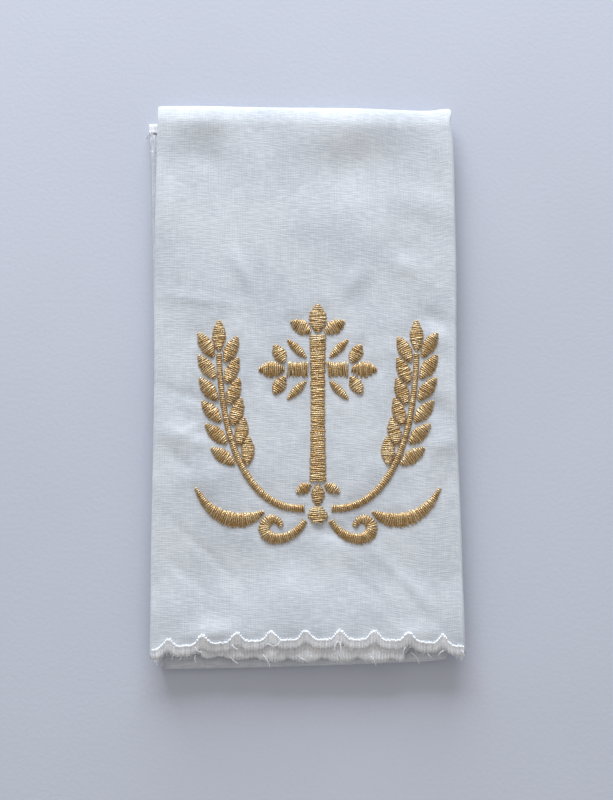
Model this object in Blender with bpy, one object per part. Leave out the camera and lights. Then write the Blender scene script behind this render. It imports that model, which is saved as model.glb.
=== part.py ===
"""A linen purificator, pressed and folded in thirds both ways, lying flat with its embroidered end on top.

The cloth is one solid: a back-and-forth section of three layers, lofted across its width. Each layer is
three pressed plies thick. Both ends are scalloped and carry a white satin edging, and the top layer carries a
raised gold embroidery of a cross between two ears of wheat. Lengths are in millimetres until the meshes are
made, +X is to the right, +Y runs towards the top fold and z is 0 on the underside.
"""

import math
from collections import namedtuple

import bmesh
import bpy
from mathutils import Vector
from mathutils.bvhtree import BVHTree

MM = 0.001

# Cloth
LAYER = 1.4  # thickness of a layer, three pressed plies
GAP = 0.45  # air between two layers
NOSE = 2.6  # depth of a fold's rounded nose
WALL = 1.6  # cloth left between a fold's nose and the slit inside it
SIDE = 0.9  # width over which a layer's side edge rounds off
SIDE_ROUND = ((0.0, 0.35), (0.4, 0.8), (1.0, 1.0))  # shares of SIDE in, and of the layer's thickness there
LIP = 0.9  # thickness of each of the two lips at the free end
SLOT = 0.3  # air between the lips
LIP_DEPTH = 5.0  # the slot's depth behind the scallops' cusps
SWELL = 12.0  # length over which the layers thicken towards the stitched ends
FAR_ROOM = 0.75  # extra air over the far end, for its edging
SEAT = 0.3  # air under the embroidery

# Scalloped ends
PITCH = 9.16  # width of a scallop
FIRST_CUSP = -35.8  # x of the first cusp on the free end
STEPS = 6  # faces across a scallop
BAND_AT_CUSP = 3.6
TRIM = 0.2  # how far the cloth ends inside its edging
INNER_DEPTH = 2.4
OUTER_DEPTH = 1.3
BAND_RISE = 0.65  # height of the edging at its inner ridge
BAND_EDGE = 0.35  # height of the edging at its outer edge
FAR_CUSPS = 69.3  # y of the far end's cusps
END_CUSPS = -67.8  # y of the free end's highest cusps
END_CREST = 0.6  # share of the width at which they lie
END_DROP_LEFT = 3.6
END_DROP_RIGHT = 2.0
UNDER_FROM, UNDER_TO = 0.12, 0.84  # shares of the width between which the lower lip sticks out
UNDER_REACH = 3.6
UNDER_DEPTH = 0.9

# Embroidery
MOTIF_X, MOTIF_Y = 4.2, -8.0
THREAD_RISE = 0.7
THINNEST_RISE = 0.45  # share of THREAD_RISE at a column's pointed end
FULL_WIDTH = 1.8  # width from which a column has its whole rise
SHOULDER = 0.55  # share of a column's half width at which its flat crown ends
PETAL = ((0, 0.16), (0.12, 0.52), (0.38, 1), (0.66, 0.9), (0.9, 0.4), (1, 0.12))  # shares: length, width

Line = namedtuple("Line", "left_x right_x left_y middle_y right_y")
LINES = {
    "front_fold": Line(-37.4, 38.8, -78.1, -77.3, -75.8),
    "top_fold": Line(-40.7, 41.3, 78.1, 77.3, 77.7),
}
FREE_LEFT, FREE_RIGHT = -40.5, 43.3
FAR_LEFT, FAR_RIGHT = -43.18, 39.7

# How far the top layer's sides bow outwards, along it from the top fold (0) to the free end (1)
Bow = namedtuple("Bow", "along left right")
BOWS = [
    Bow(0.00, 0.0, 0.0),
    Bow(0.08, 0.1, 0.8),
    Bow(0.26, 0.3, 0.7),
    Bow(0.60, -0.2, -0.5),
    Bow(0.85, 0.1, -0.1),
    Bow(1.00, 0.0, 0.0),
]

# Soft ridges on the top layer: middle, half widths across and along, turn in degrees, height
Ridge = namedtuple("Ridge", "x y across along turn height")
RIDGES = [
    Ridge(-24, 71, 17, 6, 4, 0.40),
    Ridge(22, 72, 15, 6, -3, 0.35),
    Ridge(-33, 36, 6, 15, 12, 0.35),
    Ridge(8, 46, 24, 11, -7, 0.40),
    Ridge(-33, -14, 6, 12, 32, 0.40),
    Ridge(38, -6, 6, 18, -12, 0.35),
    Ridge(2, -52, 26, 8, 4, 0.40),
    Ridge(-30, -58, 8, 9, -20, 0.30),
    Ridge(34, -48, 7, 12, 15, 0.30),
]
LIFT_LOW, LIFT_HIGH, LIFT_TOP = 0.25, 0.35, 0.4  # shares of a ridge in the two gaps and the top layer

ALONG_TOP = (0, 0.06, 0.14, 0.23, 0.32, 0.41, 0.5, 0.59, 0.68, 0.77, 0.85, 0.91, 0.96, 1)
ALONG_UNDER_TOP = (0, 0.12, 0.3, 0.5, 0.7, 0.88, 1)
ALONG_MIDDLE = (0, 0.08, 0.3, 0.5, 0.7, 0.92, 1)
ALONG_BOTTOM = (0, 0.5, 0.92, 1)
NOSE_ANGLES = (-60, -30, 0, 30, 60)
SLIT_ANGLES = (-45, 0, 45)


def smooth(t):
    t = min(max(t, 0.0), 1.0)
    return t * t * (3 - 2 * t)


def between(a, b, t):
    return a + (b - a) * t


def through(left, middle, right, u):
    """The parabola with these values at u = 0, a half and 1."""
    return left * (1 - u) * (1 - 2 * u) + 4 * middle * u * (1 - u) + right * u * (2 * u - 1)


def lobe(u, phase=0.0):
    """0 at a scallop's cusps and 1 at its middle."""
    x = between(FREE_LEFT, FREE_RIGHT, u)
    t = ((x - FIRST_CUSP) / PITCH + phase) % 1
    return 1 - (2 * t - 1) ** 2


def cusp_line(u):
    """y of the free end's inner cusps, a long bow."""
    side = END_CREST if u < END_CREST else 1 - END_CREST
    drop = END_DROP_LEFT if u < END_CREST else END_DROP_RIGHT
    return END_CUSPS - drop * (abs(u - END_CREST) / side) ** 2.5


def band(end, u, side):
    """y of the inner or outer line of the edging on the free or the far end."""
    out = INNER_DEPTH * lobe(u) if side == "inner" else BAND_AT_CUSP + OUTER_DEPTH * lobe(u)
    return cusp_line(u) - out if end == "free" else FAR_CUSPS + out


def under_reach(u):
    """0 where the lower lip is hidden under the upper one, and 1 where it sticks out in full."""
    return smooth((u - UNDER_FROM) / 0.06) * smooth((UNDER_TO - u) / 0.05)


def under_line(u):
    """y of the lower lip's own scalloped end, half a scallop out of step with the upper one."""
    shown = under_reach(u)
    return cusp_line(u) - BAND_AT_CUSP - shown * (UNDER_REACH + UNDER_DEPTH * lobe(u, 0.5))


def fold_y(name, u):
    line = LINES[name]
    return through(line.left_y, line.middle_y, line.right_y, u)


def fold_x(name, u):
    return between(LINES[name].left_x, LINES[name].right_x, u)


def bow(along):
    along = min(max(along, 0.0), 1.0)
    for a, b in zip(BOWS, BOWS[1:]):
        if along <= b.along:
            t = smooth((along - a.along) / (b.along - a.along))
            return between(a.left, b.left, t), between(a.right, b.right, t)
    return 0.0, 0.0


def layer_x(layer, u, y):
    """x at u, across a layer, and at y, along it."""
    if layer == "bottom":
        t = (y - fold_y("front_fold", u)) / (FAR_CUSPS - fold_y("front_fold", u))
        return between(fold_x("front_fold", u), between(FAR_LEFT, FAR_RIGHT, u), t)
    if layer == "middle":
        t = (y - fold_y("front_fold", u)) / (fold_y("top_fold", u) - fold_y("front_fold", u))
        return between(fold_x("front_fold", u), fold_x("top_fold", u), t)
    t = (fold_y("top_fold", u) - y) / (fold_y("top_fold", u) - cusp_line(u))
    left, right = bow(t)
    straight = between(fold_x("top_fold", u), between(FREE_LEFT, FREE_RIGHT, u), t)
    return straight - between(left, 0, u) + between(0, right, u)


def ridges(x, y):
    total = 0.0
    for row in RIDGES:
        turn = math.radians(row.turn)
        dx, dy = x - row.x, y - row.y
        across = (dx * math.cos(turn) + dy * math.sin(turn)) / row.across
        along = (dy * math.cos(turn) - dx * math.sin(turn)) / row.along
        total += row.height * math.exp(-across * across - along * along)
    return total


Heights = namedtuple("Heights", "bottom_low bottom_top middle_low middle_top top_low top_top")


def heights(x, y, u, full=1.0):
    """The z of every layer's two faces. full is under 1 where the layers round off at their side edges."""
    lift = ridges(x, y)
    far = smooth((y - FAR_CUSPS + SWELL) / SWELL)
    end = smooth((cusp_line(u) + LIP_DEPTH + SWELL - y) / SWELL)
    faces = [0.0, LAYER]
    faces += [faces[-1] + GAP + FAR_ROOM * far + LIFT_LOW * lift]
    faces += [faces[-1] + LAYER]
    faces += [faces[-1] + GAP + LIFT_HIGH * lift]
    faces += [faces[-1] + between(LAYER, 2 * LIP + SLOT, end) + LIFT_TOP * lift]
    for low in (0, 2, 4):
        pinch = (1 - full) * (faces[low + 1] - faces[low]) / 2
        faces[low] += pinch
        faces[low + 1] -= pinch
    return Heights(*faces)


def section(u, full):
    """The closed section at u: from the far end round both folds to the free end, and back on the other side."""
    points = []

    def add(layer, face, y):
        x = layer_x(layer, u, y)
        points.append((x, y, getattr(heights(x, y, u, full), face)))

    def arc(x, y, low, high, depth, angles):
        for angle in angles:
            a = math.radians(angle)
            rise = (high - low) / 2
            points.append((x, y + depth * math.cos(a), (low + high) / 2 + rise * math.sin(a)))

    far = band("far", u, "outer") - TRIM
    front_x, front_y = fold_x("front_fold", u), fold_y("front_fold", u)
    top_x, top_y = fold_x("top_fold", u), fold_y("top_fold", u)
    front = heights(front_x, front_y + NOSE, u, full)
    top = heights(top_x, top_y - NOSE, u, full)
    front_slit = (front.middle_low - front.bottom_top) / 2
    top_slit = (top.top_low - top.middle_top) / 2

    for t in (0, 0.5, 1):
        add("bottom", "bottom_low", between(far, front_y + NOSE, t))
    arc(front_x, front_y + NOSE, front.bottom_low, front.middle_top, -NOSE, NOSE_ANGLES)
    for t in ALONG_MIDDLE:
        add("middle", "middle_top", between(front_y + NOSE, top_y - WALL - top_slit, t))
    arc(top_x, top_y - WALL - top_slit, top.middle_top, top.top_low, top_slit, SLIT_ANGLES)

    root = cusp_line(u) + LIP_DEPTH
    for t in ALONG_UNDER_TOP:
        add("top", "top_low", between(top_y - WALL - top_slit, root, t))
    lower_end, upper_end = under_line(u), band("free", u, "outer") + TRIM
    lip = LIP * full
    for y, face, rise in (
        (lower_end, "top_low", 0),
        (lower_end, "top_low", lip),
        (root, "top_low", lip),
        (root, "top_top", -lip),
        (upper_end, "top_top", -lip),
    ):
        x = layer_x("top", u, y)
        points.append((x, y, getattr(heights(x, y, u, full), face) + rise))
    for t in reversed(ALONG_TOP):
        add("top", "top_top", between(top_y - NOSE, upper_end, t))
    arc(top_x, top_y - NOSE, top.middle_low, top.top_top, NOSE, reversed(NOSE_ANGLES))
    for t in reversed(ALONG_MIDDLE):
        add("middle", "middle_low", between(front_y + WALL + front_slit, top_y - NOSE, t))
    slit_y = front_y + WALL + front_slit
    arc(front_x, slit_y, front.bottom_top, front.middle_low, -front_slit, reversed(SLIT_ANGLES))
    for t in reversed(ALONG_BOTTOM):
        add("bottom", "bottom_top", between(far, slit_y, t))
    return points


Station = namedtuple("Station", "u full")


def stations():
    """Shares of the width: each scallop in equal steps, and close steps where the side edges round off."""
    width = FREE_RIGHT - FREE_LEFT
    step = PITCH / STEPS
    first = math.ceil((FREE_LEFT + SIDE + step / 2 - FIRST_CUSP) / step)
    last = math.floor((FREE_RIGHT - SIDE - step / 2 - FIRST_CUSP) / step)
    inside = [Station((FIRST_CUSP + k * step - FREE_LEFT) / width, 1.0) for k in range(first, last + 1)]
    rim = [Station(share * SIDE / width, full) for share, full in SIDE_ROUND]
    return rim + inside + [Station(1 - u, full) for u, full in reversed(rim)]


def clear_scene():
    for thing in list(bpy.data.objects):
        bpy.data.objects.remove(thing, do_unlink=True)


def material(name, color, roughness, metallic=0.0):
    made = bpy.data.materials.new(name)
    made.use_nodes = True
    shader = made.node_tree.nodes["Principled BSDF"]
    shader.inputs["Base Color"].default_value = (*color, 1)
    shader.inputs["Roughness"].default_value = roughness
    shader.inputs["Metallic"].default_value = metallic
    return made


def loft(name, loops, finish):
    """A closed solid through loops of points in millimetres, with a flat cap on each end."""
    work = bmesh.new()
    rings = [[work.verts.new(Vector(p) * MM) for p in loop] for loop in loops]
    for a, b in zip(rings, rings[1:]):
        for i in range(len(a)):
            j = (i + 1) % len(a)
            work.faces.new((a[i], a[j], b[j], b[i]))
    caps = [work.faces.new(rings[0]), work.faces.new(list(reversed(rings[-1])))]
    bmesh.ops.triangulate(work, faces=caps, ngon_method="EAR_CLIP")
    bmesh.ops.recalc_face_normals(work, faces=work.faces)
    mesh = bpy.data.meshes.new(name)
    work.to_mesh(mesh)
    work.free()
    mesh.materials.append(finish)
    mesh.shade_smooth()
    mesh.set_sharp_from_angle(angle=math.radians(50))
    made = bpy.data.objects.new(name, mesh)
    bpy.context.scene.collection.objects.link(made)
    return made


def edging(name, shares, layer, lines, ground, finish):
    """A satin band along a scalloped end: a ridge on its inner line, thinner towards its outer one."""
    loops = []
    for u in shares:
        inner, outer = lines(u)
        loop = []
        for t, rise in ((0, 0), (0, BAND_RISE), (0.35, BAND_RISE), (1, BAND_EDGE), (1, 0)):
            y = between(inner, outer, t)
            x = layer_x(layer, u, y)
            loop.append((x, y, ground(heights(x, y, u)) + SEAT + rise))
        loops.append(loop)
    return loft(name, loops, finish)


def edgings(finish):
    """The bands on the free end's upper and lower lips, and on the far end under the other layers."""
    rim = TRIM / (FREE_RIGHT - FREE_LEFT)
    shares = [rim] + [u for u, full in stations() if full == 1.0] + [1 - rim]

    def upper(u):
        return band("free", u, "inner"), band("free", u, "outer")

    def far(u):
        return band("far", u, "inner"), band("far", u, "outer") - TRIM

    def lower(u):
        return band("free", u, "outer") - SEAT, under_line(u) - TRIM / 2

    edging("edging_upper", shares, "top", upper, lambda z: z.top_top, finish)
    edging("edging_far", shares, "bottom", far, lambda z: z.bottom_top, finish)
    shown = [u for u in shares if under_reach(u) > 0.7]
    edging("edging_lower", shown, "top", lower, lambda z: z.top_low + LIP, finish)


def bezier(controls, steps):
    """Points along one or more joined cubic curves. Each row holds four points."""
    points = []
    for a, b, c, d in controls:
        a, b, c, d = (Vector(p) for p in (a, b, c, d))
        for k in range(steps + 1):
            t = k / steps
            if points and k == 0:
                continue
            s = 1 - t
            points.append(a * s**3 + b * (3 * s * s * t) + c * (3 * s * t * t) + d * t**3)
    return points


def place_before_end(route, distance):
    """The point that lies this far along route before its end, and the way the route runs there."""
    for a, b in zip(reversed(route[:-1]), reversed(route[1:])):
        step = (b - a).length
        if distance <= step:
            return b + (a - b) * (distance / step), (b - a).normalized()
        distance -= step
    raise ValueError("the route is shorter than that")


class Embroidery:
    """Raised satin columns, laid on the cloth's top face by dropping each of their points onto it."""

    def __init__(self, cloth, finish):
        self.tree = BVHTree.FromPolygons(
            [v.co for v in cloth.data.vertices], [list(p.vertices) for p in cloth.data.polygons]
        )
        self.finish = finish

    def ground(self, x, y):
        hit = self.tree.ray_cast(Vector((x, y, 50)) * MM, Vector((0, 0, -1)))[0]
        return hit.z / MM

    def column(self, name, route, halves):
        """One column along route. halves are its half widths at the route's points."""
        loops = []
        for k, (here, half) in enumerate(zip(route, halves)):
            ahead = route[min(k + 1, len(route) - 1)] - route[max(k - 1, 0)]
            side = Vector((-ahead.y, ahead.x)).normalized()
            rise = THREAD_RISE * min(1.0, THINNEST_RISE + (1 - THINNEST_RISE) * 2 * half / FULL_WIDTH)
            loop = []
            for across, up in ((-1, 0), (-SHOULDER, rise), (SHOULDER, rise), (1, 0)):
                x = MOTIF_X + here.x + side.x * across * half
                y = MOTIF_Y + here.y + side.y * across * half
                loop.append((x, y, self.ground(x, y) + SEAT + up))
            loops.append(loop)
        return loft(name, loops, self.finish)

    def petal(self, name, base, angle, length, width):
        """A pointed, filled petal or grain that starts at base and points to angle, in degrees."""
        a = math.radians(angle)
        way = Vector((math.cos(a), math.sin(a)))
        route = [Vector(base) + way * (length * along) for along, _ in PETAL]
        return self.column(name, route, [width / 2 * swell for _, swell in PETAL])


# Cross
SHAFT_WIDTH = 4.4
WAIST = 0.16  # share of its width that a column loses halfway along
CROSSING_Y = 11.0
SHAFT_FOOT, SHAFT_HEAD = -20.0, 20.6
ARM_IN, ARM_OUT = 2.6, 8.4
BUD_GAP = 0.7  # from a column's end to the middle petal's base
BUD_LENGTH, BUD_WIDTH = 8.0, 5.0
BUD_SIDE_ANGLE = 60
SIDE_BUD = 0.8  # a side petal's size as a share of the middle one's
BUD_SPREAD = 1.9  # from the middle of a column's end to a side petal's base
RAY_FROM, RAY_LENGTH, RAY_WIDTH = 4.6, 7.2, 2.2


def bar(stitch, name, start, end, steps):
    """A straight column with a slight waist."""
    shares = [k / steps for k in range(steps + 1)]
    halves = [SHAFT_WIDTH / 2 * (1 - WAIST * math.sin(math.pi * t)) for t in shares]
    stitch.column(name, [Vector(start).lerp(Vector(end), t) for t in shares], halves)


def cross(stitch):
    bar(stitch, "cross_shaft", (0, SHAFT_FOOT), (0, SHAFT_HEAD), 10)
    for side, way in (("right", 1), ("left", -1)):
        bar(stitch, f"cross_arm_{side}", (way * ARM_IN, CROSSING_Y), (way * ARM_OUT, CROSSING_Y), 3)

    ends = (
        ("head", (0, SHAFT_HEAD), 90, 1.0),
        ("right", (ARM_OUT, CROSSING_Y), 0, 0.9),
        ("left", (-ARM_OUT, CROSSING_Y), 180, 0.9),
        ("foot", (0, SHAFT_FOOT), 270, 0.72),
    )
    for end, place, heading, scale in ends:
        a = math.radians(heading)
        out, across = Vector((math.cos(a), math.sin(a))), Vector((-math.sin(a), math.cos(a)))
        base = Vector(place) + out * BUD_GAP
        length, width = BUD_LENGTH * scale, BUD_WIDTH * scale
        stitch.petal(f"bud_{end}_middle", base, heading, length, width)
        for turn, way in (("a", 1), ("b", -1)):
            start = base + across * (way * BUD_SPREAD)
            angle = heading + way * BUD_SIDE_ANGLE
            stitch.petal(f"bud_{end}_{turn}", start, angle, length * SIDE_BUD, width * SIDE_BUD)

    for k in range(4):
        angle = 45 + 90 * k
        a = math.radians(angle)
        start = (RAY_FROM * math.cos(a), CROSSING_Y + RAY_FROM * math.sin(a))
        stitch.petal(f"ray_{k + 1}", start, angle, RAY_LENGTH, RAY_WIDTH)


# Ears of wheat, drawn on the right and mirrored to the left
STALK = [((3.6, -27.2), (16, -28.2), (26, -15), (27.2, 15.5))]
LEAF = [((14.6, -28.0), (20, -32.4), (28.5, -31.4), (33.2, -21.6))]
CURL = [
    ((3.4, -30.4), (6.4, -36.2), (14.2, -37.2), (14.6, -32.6)),
    ((14.6, -32.6), (14.6, -29.4), (10.2, -29.2), (10.0, -32.2)),
]
STALK_WIDTH = 1.9
LEAF_WIDTH = 3.9
CURL_WIDTH = 3.0
GRAIN_LENGTH, GRAIN_WIDTH = 8.0, 3.7
GRAIN_TURN = 29
GRAIN_PAIRS = 6
GRAIN_PITCH = 6.0  # from one grain to the next on its side of the stalk
GRAIN_STAGGER = 1.6  # how much lower the inner grain of a pair starts
GRAIN_CLEAR = 1.0  # from the last outer grain's root to the stalk's end
BESIDE_STALK = 0.55  # air between the stalk and a grain's root
TIP_GRAIN = 1.1  # the top grain's length as a share of the others'
POINT = 0.3  # half width of a leaf's pointed ends
STALK_TAPER = 0.3
KNOT_Y, KNOT_LENGTH, KNOT_WIDTH, KNOT_END = -29.0, 4.6, 5.4, 1.0


def tapered(steps, ends, middle, power=1.0):
    """Half widths that swell from ends to middle and back. A power under 1 moves the widest place forward."""
    shares = [(k / steps) ** power for k in range(steps + 1)]
    return [ends + (middle - ends) * math.sin(math.pi * t) for t in shares]


def ear(stitch, side, way):
    def route(rows, steps):
        return bezier([[(way * x, y) for x, y in row] for row in rows], steps)

    stalk_halves = [STALK_WIDTH / 2 * (1 - STALK_TAPER * k / 16) for k in range(17)]
    stitch.column(f"stalk_{side}", route(STALK, 16), stalk_halves)
    stitch.column(f"leaf_{side}", route(LEAF, 7), tapered(7, POINT, LEAF_WIDTH / 2, 0.8))
    stitch.column(f"curl_{side}", route(CURL, 8), tapered(16, 2 * POINT, CURL_WIDTH / 2, 0.9))

    stem = route(STALK, 200)
    for k in range(GRAIN_PAIRS):
        for turn, name in ((way, "inner"), (-way, "outer")):
            back = GRAIN_PITCH * k + (GRAIN_STAGGER if name == "inner" else 0) + GRAIN_CLEAR
            here, ahead = place_before_end(stem, back)
            heading = math.degrees(math.atan2(ahead.y, ahead.x))
            out = Vector((-ahead.y, ahead.x))
            start = here + out * (turn * (STALK_WIDTH / 2 + BESIDE_STALK))
            angle = heading + turn * GRAIN_TURN
            stitch.petal(f"grain_{side}_{name}_{k + 1}", start, angle, GRAIN_LENGTH, GRAIN_WIDTH)
    tip = stem[-1] + Vector((0, BESIDE_STALK))
    stitch.petal(f"grain_{side}_tip", tip, 90, GRAIN_LENGTH * TIP_GRAIN, GRAIN_WIDTH)


def knot(stitch):
    steps = 6
    route = [Vector((0, KNOT_Y + KNOT_LENGTH * (k / steps - 0.5))) for k in range(steps + 1)]
    stitch.column("knot", route, tapered(steps, KNOT_END, KNOT_WIDTH / 2))


def main():
    clear_scene()
    linen = material("linen", (0.80, 0.83, 0.88), 0.85)
    satin = material("white_thread", (0.86, 0.86, 0.86), 0.5)
    gold = material("gold_thread", (0.62, 0.40, 0.16), 0.38, 0.7)

    cloth = loft("linen_cloth", [section(u, full) for u, full in stations()], linen)
    edgings(satin)

    stitch = Embroidery(cloth, gold)
    cross(stitch)
    knot(stitch)
    for side, way in (("right", 1), ("left", -1)):
        ear(stitch, side, way)


main()
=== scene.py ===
"""A linen purificator, pressed and folded in thirds both ways, with a scalloped edging and gold embroidery.

The linen is one thin sheet, folded in thirds across its width and then back and forth along its length. The
edging and the embroidery are single threads: one straight thread is modelled, and every stitch is a copy of
it, bent along the stitch's own path. Shapes are worked out in millimetres, with +X to the right, +Y towards
the top fold and z = 0 under the cloth, and turned into metres when a mesh is made.
"""

import math
import random
from collections import namedtuple

import bmesh
import bpy
import numpy as np
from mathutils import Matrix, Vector, noise
from mathutils.bvhtree import BVHTree
from mathutils.kdtree import KDTree


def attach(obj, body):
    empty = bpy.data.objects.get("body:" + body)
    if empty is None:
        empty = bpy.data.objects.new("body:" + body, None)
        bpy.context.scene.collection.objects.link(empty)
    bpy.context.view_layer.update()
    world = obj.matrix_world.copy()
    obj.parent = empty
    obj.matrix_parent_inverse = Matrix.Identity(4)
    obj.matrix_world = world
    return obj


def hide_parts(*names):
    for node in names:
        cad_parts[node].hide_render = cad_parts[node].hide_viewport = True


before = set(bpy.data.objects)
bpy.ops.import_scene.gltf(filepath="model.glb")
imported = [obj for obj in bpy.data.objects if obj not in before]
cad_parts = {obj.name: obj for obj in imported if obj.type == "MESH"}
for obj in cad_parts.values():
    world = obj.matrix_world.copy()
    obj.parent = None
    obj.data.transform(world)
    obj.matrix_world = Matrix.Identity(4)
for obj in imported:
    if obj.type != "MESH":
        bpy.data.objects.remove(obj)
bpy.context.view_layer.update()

bl_info = {
    "name": "Purificator",
    "version": (1, 0, 0),
    "blender": (4, 5, 0),
    "location": "View3D > Sidebar > Purificator",
    "description": "Folds a linen purificator and stitches its edging and embroidery",
    "category": "Add Mesh",
}

MM = 0.001

# Layers of the folded cloth
LAYER = 1.4  # thickness of a layer, three pressed plies
GAP = 0.45  # air between two layers
NOSE = 2.6  # depth of a fold's rounded nose
WALL = 1.6  # cloth between a fold's nose and the slit inside it
LIP = 0.9  # height of the lower plies at the free end
SLOT = 0.3  # air between the plies there
LIP_DEPTH = 5.0  # how far in from the end the slot reaches
SWELL = 12.0  # length over which the layers thicken towards the stitched ends
FAR_ROOM, FAR_SWELL = 0.25, 25.0  # extra air over the far end, and the length over which it opens
TOP_SLOPE = 5.2  # length over which the top ply slopes down to the top fold
SLOPE_GROWTH = 1.6  # how that slope grows from the inner plies to the outer one
WEDGE = 1.35  # over 1, the top fold is pressed to more of a wedge
END_DROOP, DROOP_LENGTH = 0.15, 4.0  # how far the top ply hangs down at its stitched end
CORNER = 1.4  # radius of the folds' pressed corners
TOP_CORNER = 0.15  # share of that rounding at the top fold

# Scalloped ends
PITCH = 9.16  # from one cusp to the next
LAST_CUSP, LAST_PITCH = 37.5, 7.4  # the scallop beyond the last cusp is narrower
SCALLOP_POWER = 6  # the higher, the flatter the scallops are in the middle and the narrower at the cusps
BAND_AT_CUSP = 3.6  # width of the edging at a cusp
INNER_DEPTH, OUTER_DEPTH = 2.4, 1.3  # of a scallop, along the edging's inner and outer line
TRIM = 0.2  # how far inside the edging's outer line the cloth ends
FAR_CUSPS, END_CUSPS = 69.3, -67.8  # y of the far end's cusps, and of the free end's furthest ones
END_CREST = 0.6  # share of the width where the free end lies furthest up
END_DROP_LEFT, END_DROP_RIGHT, END_POWER = 2.9, 2.0, 2.5  # how it drops to both sides of that
UNDER_FROM, UNDER_TO = 0.12, 0.84  # share of the width where the second ply sticks out
UNDER_FADE_IN, UNDER_FADE_OUT = 0.06, 0.05  # share of the width over which it comes out and goes in
UNDER_REACH, UNDER_DEPTH = 3.6, 0.9  # how far it sticks out, and the depth of its scallops
UNDER_SHORT, UNDER_GROWTH = 0.5, 0.35  # share of that reach at the left, and of the width until it is full
UNDER_TUCK = 0.15  # how far the lower edging starts under the upper one
UNDER_SHOWN = 0.7  # share of its reach at which the lower edging starts and ends

Line = namedtuple("Line", "left_x right_x left_y middle_y right_y")
LINES = {
    "front_fold": Line(-38.4, 38.8, -78.1, -77.3, -75.8),
    "top_fold": Line(-40.7, 41.3, 78.8, 78.3, 77.15),
}
CORNER_FLARE, FLARE_WIDTH = 0.9, 0.05  # of the top fold's right corner: mm outwards, share of the width
FREE_LEFT, FREE_RIGHT = -40.5, 43.3  # sides of the free end
FREE_WIDTH = FREE_RIGHT - FREE_LEFT
FAR_LEFT, FAR_RIGHT = -42.75, 39.7  # sides of the far end

# How far the top layer's sides bow outwards, along it from the top fold (0) to the free end (1)
BOWS = [
    (0.00, 0.0, 1.3),
    (0.025, 0.0, 0.1),
    (0.08, 0.1, 0.8),
    (0.26, 0.3, 0.7),
    (0.60, -0.1, -0.4),
    (0.85, 0.1, -0.1),
    (1.00, 0.0, 0.0),
]

# Soft ridges of the layers: x and y of the middle, half widths across and along, turn in degrees, height
RIDGES = [
    (-29, 74.4, 8.5, 7.0, -8, 0.9),
    (15, 73.0, 13, 7.8, 8, 1.15),
    (-33, 36, 6, 15, 12, 0.35),
    (8, 46, 24, 11, -7, 0.40),
    (-33, -17.5, 6, 12, 32, 0.40),
    (-28, -35, 15, 15, 0, 0.5),
    (-39, -79, 7, 5, 0, 0.45),
    (-2, -67.5, 15, 4.5, 0, 0.28),
    (38, -6, 6, 18, -12, 0.35),
    (2, -71, 34, 9, 4, 0.45),
    (-30, -62, 8, 9, -20, 0.30),
    (34, -48, 7, 12, 15, 0.30),
]
LIFT_LOW, LIFT_HIGH, LIFT_TOP = 0.25, 0.35, 0.4  # share of a ridge in the lower gap, upper gap, top layer

# Creases of the top ply: the same columns, with the half length before the half width
CREASES = [
    (-28, 65.2, 8, 6.5, -8, -0.36),
    (13, 60.5, 13, 7.5, 12, -0.5),
    (-24, 59, 2.4, 9, 8, -0.22),
    (-37, 50, 7, 5, 80, 0.3),
    (32, 50, 9, 4, -20, 0.3),
    (28, 32, 5, 3, -25, 0.35),
    (-17, 31, 7, 2.0, 118, 0.32),
    (15, 28.5, 5, 2.6, 50, 0.36),
    (-28, 22.6, 11, 1.5, -8, 0.2),
    (-28, -5.4, 9, 1.3, -18, -0.28),
    (-36, -14.5, 3, 2.4, 0, 0.22),
    (-30, -13.6, 4, 0.8, 28, 0.24),
    (-25.5, -8.5, 3.5, 1.1, -38, 0.16),
    (-29.5, -16.9, 4.5, 1.9, -25, 0.34),
    (-33, -22.5, 5, 1.8, -45, -0.32),
    (37, -8, 5, 3.0, -50, -0.4),
    (38, -18, 4, 2.4, 10, 0.3),
    (37, 12, 4, 2.5, -20, 0.3),
    (36, 17.5, 5, 2.4, -30, -0.4),
    (-27, -27, 9, 5, 10, 0.3),
    (-26.5, -46.5, 13, 1.1, -42, -0.15),
    (-30, -54, 11, 1.1, -38, -0.12),
    (-3.5, -60.5, 6, 11, 0, 0.45),
    (-3.5, -47.5, 4.5, 4.5, 0, -0.3),
    (7, -41, 4.5, 2.2, 0, -0.5),
    (27.5, -54.5, 12, 1.6, -46, 0.24),
    (18, -57, 10, 1.5, -43, -0.14),
    (-24, -68.6, 7, 3.2, 5, 0.75),
    (31, -69.0, 6, 3.0, 0, 0.5),
    (-28.5, 66.4, 12, 1.6, -5, 0.05),
]
# Share of a crease that the lowest and the highest ply of a layer take
LAYER_SHARE = {"bottom": (0.0, 0.1), "middle": (0.3, 0.35), "top": (0.6, 1.0)}
CREASE_CLEAR, CREASE_FADE = 1.5, 3.5  # no creases this close to the top fold, and how they fade in from there
DIMPLE_DEPTH, DIMPLE_REACH = 0.14, 1.3  # how the stitches draw the linen down beside them
PUCKER_REACH, PUCKER_GAIN = 6.0, 1.6  # how they pucker it, as a growth of the fine unevenness
BROAD_WAVE, BROAD_HEIGHT, BROAD_LAYER = 15.0, 0.11, 3.1
FINE_WAVE, FINE_HEIGHT, FINE_LAYER = 5.0, 0.04, 8.7

# Lines of the sheet's mesh
HIDDEN_THIRD_LINES, FACE_LINES, UNDER_THIRD_LINES = 72, 112, 24
EDGE_LINES, EDGE_SPAN, EDGE_POWER = 6, 3, 1.5  # closer together beside each side fold, over three spacings
NARROW_FOLD_LINES, WIDE_FOLD_LINES = 6, 9
LAYER_ROWS, NOSE_ROWS, FACE_ROWS = 14, 10, 132
LONG_EDGE_INSET = 0.015  # share of the width between a side fold and the long edge that ends beside it
FAR_SHORT, FREE_SHORT, SHORT_FADE = 1.6, 2.2, 0.1  # how far the hidden plies end short, fading at the sides
MM_IN_CM = 10

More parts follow.
